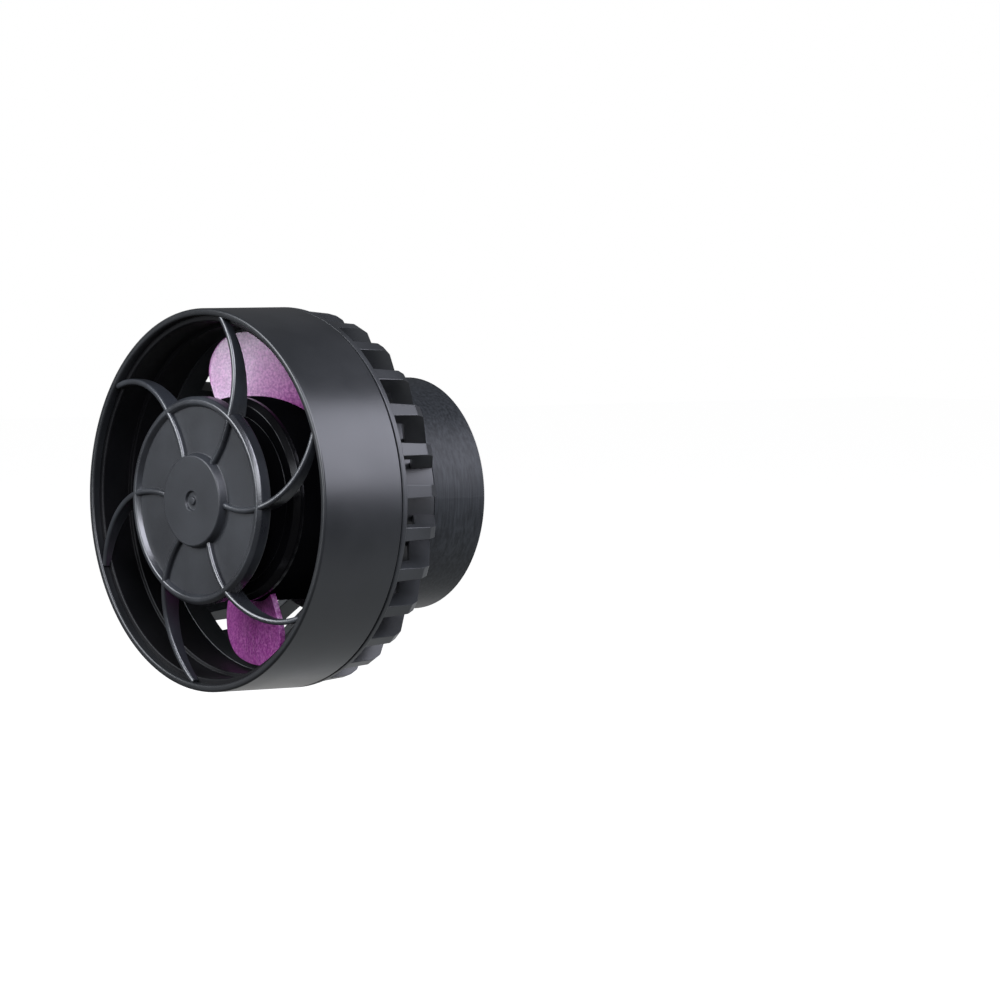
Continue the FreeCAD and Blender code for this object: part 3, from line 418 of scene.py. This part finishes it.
# Spokes and bead take a glossier copy of the guard plastic with a lighter colour: the gloss is
# real, and the lighter colour is a painted highlight along their edges.
GUARD_EDGE_GLOSS_AND_PAINTED_HIGHLIGHT = moulded_plastic("guard_edge_gloss_and_painted_highlight", (0.010, 0.011, 0.013), (0.022, 0.025, 0.029),
                             0.30, 3600, 0.6, 0.04, specular=0.9)
CAGE_PLASTIC = moulded_plastic("cage_matt", (0.010, 0.011, 0.012), (0.018, 0.0195, 0.021),
                               0.40, 2400, 0.3, 0.02)
CASE_PLASTIC = moulded_plastic("case_drawn", (0.006, 0.007, 0.008), (0.017, 0.019, 0.021),
                               0.46, 1900, 0.6, 0.04, stretch=(1, 1, 0.03), specular=0.25,
                               streaked=True)
HUB_GLOSS = moulded_plastic("hub_gloss", (0.002, 0.002, 0.0025), (0.003, 0.003, 0.0035),
                            0.2, 700, 0.05, 0.01, specular=0.2)
HUB_SIDE = moulded_plastic("hub_side", (0.002, 0.002, 0.0025), (0.003, 0.003, 0.0035),
                           0.5, 1400, 0.1, 0.01, specular=0.0)
BLADE = blade_plastic("blade_purple")
RUBBER = moulded_plastic("rubber", (0.012, 0.012, 0.012), (0.02, 0.02, 0.02), 0.7, 1800, 0.4, 0.03)
GREEN_BOARD = moulded_plastic("board_green", (0.01, 0.07, 0.03), (0.015, 0.1, 0.04), 0.35)
RESIN = moulded_plastic("resin", (0.01, 0.01, 0.01), (0.015, 0.015, 0.016), 0.25)
CHIP = moulded_plastic("chip_case", (0.02, 0.02, 0.02), (0.03, 0.03, 0.03), 0.5)
WASHER = moulded_plastic("washer_white", (0.6, 0.6, 0.58), (0.72, 0.72, 0.7), 0.4)
CERAMIC = moulded_plastic("ceramic_ground", (0.66, 0.65, 0.6), (0.75, 0.74, 0.7), 0.22)
STEEL = metal("steel_plated", (0.42, 0.42, 0.43), (0.58, 0.58, 0.6), 0.3)
SCREW_STEEL = metal("steel_stainless", (0.5, 0.5, 0.5), (0.66, 0.66, 0.67), 0.24)
CORE_STEEL = metal("steel_laminated", (0.25, 0.25, 0.26), (0.4, 0.4, 0.41), 0.4, (1, 60, 1))
COPPER = metal("copper_wire", (0.5, 0.17, 0.07), (0.75, 0.3, 0.13), 0.28, (1, 30, 1))
ALUMINIUM = metal("aluminium_can", (0.6, 0.6, 0.61), (0.75, 0.75, 0.76), 0.3)
RING_MAGNET = metal("magnet_moulded", (0.07, 0.07, 0.075), (0.12, 0.12, 0.125), 0.5)

SLOT_LOOKS = {
    "guard_plastic": GUARD_FACE,
    "cage_plastic": CAGE_PLASTIC,
    "case_plastic": CASE_PLASTIC,
    "inner_plastic": CAGE_PLASTIC,
    "gland_plastic": CAGE_PLASTIC,
    "hub_plastic": HUB_GLOSS,
    "blade_plastic": BLADE,
    "core_steel": CORE_STEEL,
    "plate_steel": STEEL,
    "screw_steel": SCREW_STEEL,
    "magnet": STEEL,
    "ring_magnet": RING_MAGNET,
    "copper": COPPER,
    "board": GREEN_BOARD,
    "chip": CHIP,
    "capacitor_can": ALUMINIUM,
    "potting": RESIN,
    "seal_rubber": RUBBER,
    "pad_rubber": RUBBER,
    "ceramic": CERAMIC,
    "washer": WASHER,
}


def dress_cad_nodes():
    """Give each CAD node the procedural finish of its slot."""
    for entry in frame["record"]["subparts"]:
        node = frame["nodes"][entry["node"]]
        look = SLOT_LOOKS[entry["material_slot"]]
        for material_slot in node.material_slots:
            material_slot.material = look


# ---- outlet guard

def make_ring():
    """Outside of the outlet ring, from its thin lip to the groove for the twist lock."""
    bm = bmesh.new()
    add_lathe(bm, rounded([
        (LIP, RIM, 0.35),
        (RING, RIM, 0.45),
        (RING, RING_END, 0.22),
        (SOCKET, RING_END, 0.15),
        (SOCKET, RING_END + SOCKET_EDGE, 0),
        (GROOVE, RING_END + SOCKET_EDGE, 0),
        (GROOVE, RING_END + SOCKET_LENGTH, 0),
        (LIP - LINING, RING_END + SOCKET_LENGTH, 0),
        (LIP - LINING, LEDGE - LINING, 0),
        (LIP, LEDGE - LINING, 0),
    ]), steps=WIDE_STEPS)
    return finish_piece("guard_ring", bm, GUARD_RING)


def make_ring_inside():
    """Inside of the outlet ring: the ledge under the lip, the mouth and the throat step, darkened
    with painted shade.
    """
    bm = bmesh.new()
    wall = LIP - LINING
    add_lathe(bm, rounded([
        (LIP, LEDGE, 0),
        (LIP, LEDGE - LINING, 0),
        (wall, LEDGE - LINING, 0),
        (wall, RING_END + THROAT_LEAD, 0),
        (THROAT, RING_END + THROAT_LEAD, 0.15),
        (THROAT, STEP, 0.25),
        (MOUTH, STEP, 0.2),
        (MOUTH, LEDGE, 0.3),
    ]), steps=WIDE_STEPS)
    return finish_piece("guard_ring_inside", bm, GUARD_INSIDE_PAINTED_SHADE)


def make_bead():
    """Bead around the edge of the centre disc, down the disc's side, in the lighter edge plastic
    that paints its highlight.
    """
    bm = bmesh.new()
    add_lathe(bm, rounded([
        (BEAD_INSIDE, CREST - BEAD_DROP, 0),
        (DISC, CREST - BEAD_DROP, 0),
        (DISC, CREST - BEAD_SHOULDER, 0.4),
        (BEAD + 0.6, CREST, 0.35),
        (BEAD - 0.2, CREST, 0.35),
        (BEAD_INSIDE, FIELD, 0.15),
    ]), steps=NARROW_STEPS)
    return finish_piece("guard_bead", bm, GUARD_EDGE_GLOSS_AND_PAINTED_HIGHLIGHT)


def make_disc():
    """Centre disc inside its bead: flat field, low boss and a moulding dimple."""
    bm = bmesh.new()
    back = CREST - DISC_THICKNESS
    outline = rounded([
        (0, back, 0),
        (DISC, back, 0.5),
        (DISC, CREST - BEAD_DROP, 0),
        (BEAD_INSIDE, CREST - BEAD_DROP, 0),
        (BEAD_INSIDE, FIELD, 0),
        (BOSS + BOSS_SLOPE, FIELD, 0.2),
        (BOSS, DISC_FRONT, 0.35),
        (DIMPLE, DISC_FRONT, 0.15),
        (DIMPLE_FLOOR, DISC_FRONT - DIMPLE_DEPTH, 0.1),
        (PIP_FOOT, DISC_FRONT - DIMPLE_DEPTH, 0.1),
        (PIP, DISC_FRONT - PIP_DROP, 0.15),
        (0, DISC_FRONT - PIP_DROP, 0),
    ])
    add_lathe(bm, outline, steps=NARROW_STEPS)
    return finish_piece("guard_disc", bm, GUARD_FACE)


def spoke_path(steps):
    """Centre line of the first spoke, as (place across the axis, direction) pairs."""
    root = Vector((BOSS - SPOKE_INSET, 0))
    wall = (MOUTH + LIP) / 2
    end = Vector((math.cos(SPOKE_SWEEP), math.sin(SPOKE_SWEEP))) * wall
    chord = end - root
    rise = math.sqrt(SPOKE_BOW ** 2 - (chord.length / 2) ** 2)
    centre = (root + end) / 2 + Vector((-chord.y, chord.x)).normalized() * rise
    first = root - centre
    turn = first.angle_signed(end - centre)
    whole = turn * (1 + SPOKE_BITE / (SPOKE_BOW * abs(turn)))
    places = []
    for step in range(steps + 1):
        arm = Matrix.Rotation(-whole * step / steps, 2) @ first
        places.append((centre + arm, Vector((-arm.y, arm.x)).normalized()))
    return places


def add_spoke(bm, lead):
    """A spoke with a round front edge; past the bead it falls back a little towards the ring."""
    half = SPOKE_WIDTH / 2
    section = rounded([
        (-half, 0, 0.42),
        (half, 0, 0.42),
        (half * SPOKE_TAPER, -SPOKE_DEPTH, 0.2),
        (-half * SPOKE_TAPER, -SPOKE_DEPTH, 0.2),
    ])
    rings = []
    for place, along in spoke_path(SPOKE_STEPS):
        radius = place.length
        fall = SPOKE_RAKE * max(0.0, (radius - BEAD) / (LIP - BEAD)) ** RAKE_POWER
        side = Vector((-along.y, along.x))
        ring = []
        for spot in section:
            flat = Matrix.Rotation(lead, 2) @ (place + side * spot.x)
            depth = spot.y
            if radius < DISC - SPOKE_INSET:
                depth = max(depth, -SPOKE_DEPTH_ON_DISC)
            station = max(CREST - fall + depth, CREST - SPOKE_DEPTH)
            ring.append(bm.verts.new(Vector((flat.x, -station, flat.y)) * MM))
        rings.append(ring)
    for ring, following in zip(rings, rings[1:]):
        for i in range(len(section)):
            j = (i + 1) % len(section)
            bm.faces.new((ring[i], ring[j], following[j], following[i]))
    bm.faces.new(rings[0])
    bm.faces.new(rings[-1])


def make_spokes():
    """Six swept spokes from the boss to the ring, in the lighter edge plastic that paints their
    highlights.
    """
    bm = bmesh.new()
    for number in range(SPOKE_COUNT):
        add_spoke(bm, SPOKE_LEAD + number * FULL_TURN / SPOKE_COUNT)
    return finish_piece("guard_spokes", bm, GUARD_EDGE_GLOSS_AND_PAINTED_HIGHLIGHT, 40)


# ---- cage

def add_rib(bm, middle):
    """A rib between two water slots, thinner towards the axis, with round edges."""
    outline = rounded([
        (RING - RIB_INSET, FLANGE_BACK + RIB_BITE, 0),
        (RING - RIB_SHOULDER, RIB_EDGE, 1.2),
        (RING - RIB_SLOPE, RIB_EDGE - RIB_SLOPE, 1.2),
        (CASE + RIB_HEEL, CAGE_BACK, 0.15),
        (CASE - RIB_BITE, CAGE_BACK, 0),
        (CASE - RIB_BITE, CAGE_BACK + RIB_FOOT, 0),
        (RING - RIB_DEPTH, RIB_EDGE + RIB_INNER_EDGE, 1.5),
        (THROAT, FLANGE_BACK + RIB_BITE, 0),
    ], 5)
    sides = []
    for sign in (-1, 1):
        side = []
        for spot in outline:
            share = (spot.x - CASE) / (RING - CASE)
            width = RIB_INNER + (RIB_OUTER - RIB_INNER) * share
            width -= RIB_DRAFT * (FLANGE_BACK - spot.y)
            half = math.asin(width / 2 / spot.x)
            side.append(bm.verts.new(point(spot.x, middle + sign * half, spot.y)))
        sides.append(side)
    left, right = sides
    count = len(outline)
    rim = []
    for i in range(count):
        j = (i + 1) % count
        rim.append(bm.faces.new((left[i], left[j], right[j], right[i])))
    caps = [bm.faces.new(left), bm.faces.new(right)]
    edges = {edge for cap in caps for edge in cap.edges}
    bmesh.ops.bevel(bm, geom=list(edges), offset=RIB_ROUNDING * MM, segments=3, profile=0.5,
                    affect="EDGES", clamp_overlap=True)


def make_cage():
    """Intake cage: flange, ribs, back plate and the spigot."""
    bm = bmesh.new()
    spigot = THROAT + SPIGOT_WALL
    spigot_front = RING_END + SOCKET_LENGTH
    add_lathe(bm, rounded([
        (THROAT, spigot_front, 0.2),
        (spigot, spigot_front, 0.2),
        (spigot, CAGE_FRONT, 0),
        (RING, CAGE_FRONT, 0.25),
        (RING, FLANGE_BACK, 0.2),
        (THROAT, FLANGE_BACK, 0.2),
    ]), steps=WIDE_STEPS)
    add_lathe(bm, rounded([
        (COLLAR_INSIDE, CAGE_BACK, 0.1),
        (CASE, CAGE_BACK, 0.12),
        (CASE, PLATE_FRONT, 0.4),
        (PLATE_HOLE, PLATE_FRONT, 0.1),
        (PLATE_HOLE, PLATE_BACK, 0.1),
        (COLLAR_INSIDE, PLATE_BACK, 0),
    ]), steps=NARROW_STEPS)
    for number in range(RIB_COUNT):
        add_rib(bm, RIB_LEAD + number * RIB_PITCH)
    return finish_piece("cage", bm, CAGE_PLASTIC)


# ---- impeller

def make_hub():
    """Polished front of the hub, as far back as its chamfer."""
    bm = bmesh.new()
    add_lathe(bm, rounded([
        (CAP + CAP_SEAM, HUB_FRONT - CAP_DEPTH, 0),
        (CAP + CAP_SEAM, HUB_FRONT, 0.12),
        (HUB - HUB_CHAMFER, HUB_FRONT, 0.3),
        (HUB, HUB_FRONT - HUB_CHAMFER, 0.3),
        (HUB, HUB_FRONT - HUB_SPLIT, 0),
        (HUB_HOLE, HUB_FRONT - HUB_SPLIT, 0),
        (HUB_HOLE, HUB_FRONT - CAP_DEPTH, 0),
    ]), steps=NARROW_STEPS)
    return finish_piece("hub_front", bm, HUB_GLOSS)


def make_hub_side():
    """Matt skirt of the hub, open towards the motor."""
    bm = bmesh.new()
    add_lathe(bm, rounded([
        (HUB, HUB_FRONT - HUB_SPLIT, 0),
        (HUB, HUB_BACK, 0.3),
        (SKIRT + SKIRT_GAP, HUB_BACK, 0.2),
        (SKIRT + SKIRT_GAP, HUB_FRONT - HUB_SPLIT, 0),
    ]), steps=NARROW_STEPS)
    return finish_piece("hub_skirt", bm, HUB_SIDE)


def make_cap():
    """Cap pressed into the front of the hub."""
    bm = bmesh.new()
    add_lathe(bm, rounded([
        (0, HUB_FRONT - CAP_DEPTH, 0),
        (CAP, HUB_FRONT - CAP_DEPTH, 0),
        (CAP, HUB_FRONT, 0.15),
        (0, HUB_FRONT, 0),
    ]), steps=NARROW_STEPS)
    return finish_piece("hub_cap_disc", bm, HUB_GLOSS)


def corner_angle(radius, corner):
    """How far the blade's rounded tip corner pulls its edge back, as an angle at this radius."""
    arm = BLADE_TIP - corner
    lean = math.asin(corner / arm)
    if radius <= math.sqrt(arm ** 2 - corner ** 2):
        return 0.0
    cosine = (radius ** 2 + arm ** 2 - corner ** 2) / (2 * radius * arm)
    return lean - math.acos(min(cosine, 1.0))


def make_blade(name, lead):
    """A helical blade with a rounded outline and softened edges."""
    bm = bmesh.new()
    rows, columns = 30, 36
    climb = (BLADE_FRONT - BLADE_BACK - BLADE_THICKNESS) / BLADE_SPAN
    layers = []
    for lift in (0.0, BLADE_THICKNESS):
        layer = []
        for row in range(rows + 1):
            share = math.sin(math.pi / 2 * row / rows)
            radius = BLADE_ROOT + (BLADE_TIP - BLADE_ROOT) * share
            low = corner_angle(radius, REAR_CORNER)
            high = BLADE_SPAN - corner_angle(radius, FRONT_CORNER)
            line = []
            for column in range(columns + 1):
                angle = low + (high - low) * column / columns
                station = BLADE_BACK + climb * angle + lift
                line.append(bm.verts.new(point(radius, lead + angle, station)))
            layer.append(line)
        layers.append(layer)
    for layer in layers:
        for row in range(rows):
            for column in range(columns):
                bm.faces.new((layer[row][column], layer[row][column + 1],
                              layer[row + 1][column + 1], layer[row + 1][column]))
    back, front = layers
    border = [(row, 0) for row in range(rows + 1)]
    border += [(rows, column) for column in range(1, columns + 1)]
    border += [(row, columns) for row in range(rows - 1, -1, -1)]
    border += [(0, column) for column in range(columns - 1, 0, -1)]
    edges = []
    for i, (row, column) in enumerate(border):
        next_row, next_column = border[(i + 1) % len(border)]
        bm.faces.new((back[row][column], back[next_row][next_column],
                      front[next_row][next_column], front[row][column]))
        for layer in layers:
            edges.append(bm.edges.get((layer[row][column], layer[next_row][next_column])))
    bmesh.ops.bevel(bm, geom=edges, offset=BLADE_ROUNDING * MM, segments=2, profile=0.5,
                    affect="EDGES", clamp_overlap=True)
    return finish_piece(name, bm, BLADE, 50)


# ---- glass side

def make_pad():
    """Rubber grip pad with rings of low ridges."""
    bm = bmesh.new()
    outline = [(0, PAD_FRONT, 0), (PAD, PAD_FRONT, 0.1), (PAD, 0, 0.4)]
    radius = PAD - PAD_BORDER
    while radius > PAD_MIDDLE:
        outline += [
            (radius, 0, 0.12),
            (radius - RIDGE_NEAR, RIDGE_DEPTH, 0.1),
            (radius - RIDGE_FAR, RIDGE_DEPTH, 0.1),
            (radius - RIDGE_WIDTH, 0, 0.12),
        ]
        radius -= RIDGE_PITCH
    outline.append((0, 0, 0))
    add_lathe(bm, rounded(outline, 2), steps=PAD_STEPS)
    return finish_piece("pad", bm, RUBBER)


# ---- studio

def look_at(thing, target):
    """Turn a camera or light towards a place."""
    thing.rotation_euler = (target - thing.location).to_track_quat("-Z", "Y").to_euler()


def direction(azimuth, elevation):
    """Unit vector from the pump towards a viewer; azimuth 0 is straight ahead of the outlet."""
    a, e = math.radians(azimuth), math.radians(elevation)
    return Vector((math.sin(a) * math.cos(e), -math.cos(a) * math.cos(e), math.sin(e)))


def make_camera():
    """Camera at the picture's angle, panned a little so that the pump stands left of centre."""
    data = bpy.data.cameras.new("camera")
    data.lens = LENS_MM
    data.clip_start = 0.01
    camera = bpy.data.objects.new("camera", data)
    bpy.context.scene.collection.objects.link(camera)
    target = Vector((0, -CAMERA_STATION, 0)) * MM
    camera.location = target + direction(CAMERA_AZIMUTH, CAMERA_ELEVATION) * CAMERA_DISTANCE
    look_at(camera, target)
    aim = camera.rotation_euler.to_matrix() @ Matrix.Rotation(math.radians(CAMERA_PAN), 3, "Y")
    aim = aim @ Matrix.Rotation(math.radians(CAMERA_TILT), 3, "X")
    camera.rotation_euler = aim.to_euler()
    bpy.context.scene.camera = camera


def make_light(name, azimuth, elevation, distance, width, height, power, colour):
    """A rectangular softbox facing the pump."""
    data = bpy.data.lights.new(name, "AREA")
    data.shape = "RECTANGLE"
    data.size = width
    data.size_y = height
    data.energy = power
    data.color = colour
    light = bpy.data.objects.new(name, data)
    bpy.context.scene.collection.objects.link(light)
    centre = Vector((0, -DISC_FRONT / 2 * MM, 0))
    light.location = centre + direction(azimuth, elevation) * distance
    look_at(light, centre)
    return light


def make_studio():
    """White surroundings, a pale floor well below the pump that lights nothing, and softboxes."""
    scene = bpy.context.scene
    scene.view_settings.view_transform = "Standard"
    world = bpy.data.worlds.new("studio")
    scene.world = world
    world.use_nodes = True
    tree = world.node_tree
    background = tree.nodes["Background"]
    background.inputs["Color"].default_value = (1, 1, 1, 1)
    rays = add_node(tree, "ShaderNodeLightPath")
    level = add_node(tree, "ShaderNodeMapRange")
    level.inputs["To Min"].default_value = SURROUND_LIGHT
    level.inputs["To Max"].default_value = 1.0
    tree.links.new(rays.outputs["Is Camera Ray"], level.inputs["Value"])
    tree.links.new(level.outputs["Result"], background.inputs["Strength"])
    bm = bmesh.new()
    bmesh.ops.create_grid(bm, x_segments=8, y_segments=8, size=FLOOR_SIZE)
    floor = finish_piece("floor", bm, floor_paper())
    floor.location.z = FLOOR_LEVEL
    floor.visible_diffuse = False
    floor.visible_glossy = False
    for settings in LIGHTS:
        make_light(*settings)


def floor_paper():
    """Pale paper that reads as white as the surroundings."""
    material, tree, shader = new_material("floor_paper")
    fibres = noise_of(tree, 40, 3)
    colour = ramp_of(tree, fibres, (0.86, 0.86, 0.86), (0.88, 0.88, 0.88))
    tree.links.new(colour, shader.inputs["Base Color"])
    shader.inputs["Roughness"].default_value = 0.9
    shader.inputs["Emission Color"].default_value = (1, 1, 1, 1)
    shader.inputs["Emission Strength"].default_value = 0.9
    return material


dress_cad_nodes()
make_camera()

for shell in (make_ring(), make_ring_inside(), make_bead(), make_disc(), make_spokes()):
    stand_for(shell, "guard", "guard_plastic", "outlet_guard")
stand_for(make_cage(), "pump_body", "cage_plastic", "rear_cage")
for shell in (make_hub(), make_hub_side()):
    stand_for(shell, "impeller", "hub_plastic", "impeller_hub")
stand_for(make_cap(), "impeller", "hub_plastic", "hub_cap")
for number in (1, 2):
    lead = BLADE_LEAD + (number - 1) * math.pi
    blade = make_blade(f"blade_{number}", lead)
    stand_for(blade, "impeller", "blade_plastic", f"impeller_blade_{number}")
stand_for(make_pad(), "pump_body", "pad_rubber", "grip_pad")
make_studio()
